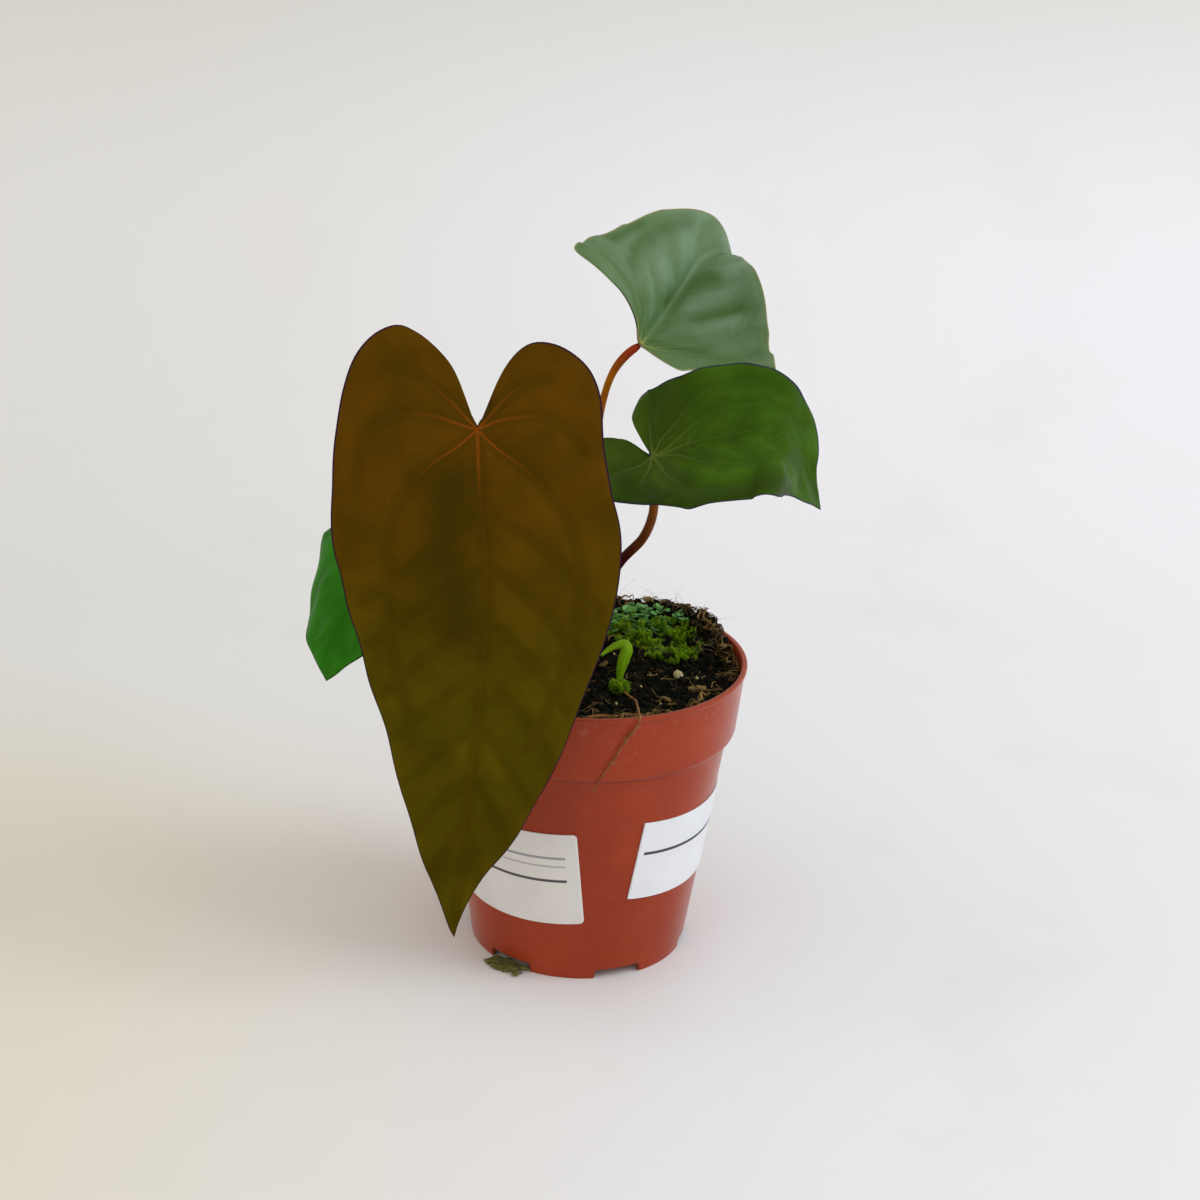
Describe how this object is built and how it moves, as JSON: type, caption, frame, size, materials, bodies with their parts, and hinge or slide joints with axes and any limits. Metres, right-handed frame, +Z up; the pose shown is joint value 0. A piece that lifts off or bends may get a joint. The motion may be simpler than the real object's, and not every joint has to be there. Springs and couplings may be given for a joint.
{
  "type": "potted anthurium",
  "caption": "Heart-leaved aroid house plant in a round nursery pot with a collar, peat, moss and two plain labels.",
  "frame": {"origin": "centre of the pot's underside, on the plane that it stands on", "axes": "+Z up along the pot's axis; -Y is the front, where the large bronze leaf hangs; +X is to the viewer's right"},
  "size_m": [0.1859, 0.177, 0.2716],
  "materials": {
    "pot": "terracotta-coloured moulded plastic, satin",
    "label": "white coated paper",
    "soil": "dark peat, crumbly",
    "crown": "green-brown stem with dry sheaths",
    "petiole": "red-brown to ochre, smooth",
    "leaf_bronze": "bronze-brown to olive, velvety sheen",
    "leaf_green": "mid green, satin, veins raised",
    "shoot": "light green, smooth",
    "liverwort": "blue-green lobes, satin",
    "moss": "bright green tufts",
    "root": "dry tan fibre"
  },
  "bodies": {
    "root": {"pot": "pot", "label_left": "label", "label_right": "label", "soil": "soil", "crown": "crown", "petiole_front": "petiole", "petiole_top": "petiole", "petiole_right": "petiole", "petiole_left": "petiole", "leaf_front": "leaf_bronze", "leaf_top": "leaf_green", "leaf_right": "leaf_green", "leaf_left": "leaf_green", "new_shoot": "shoot", "liverwort": "liverwort", "moss_cushion": "moss", "moss_clump": "moss", "root_over_rim": "root", "rim_roots": "root", "foot_moss": "moss"}
  },
  "joints": []
}
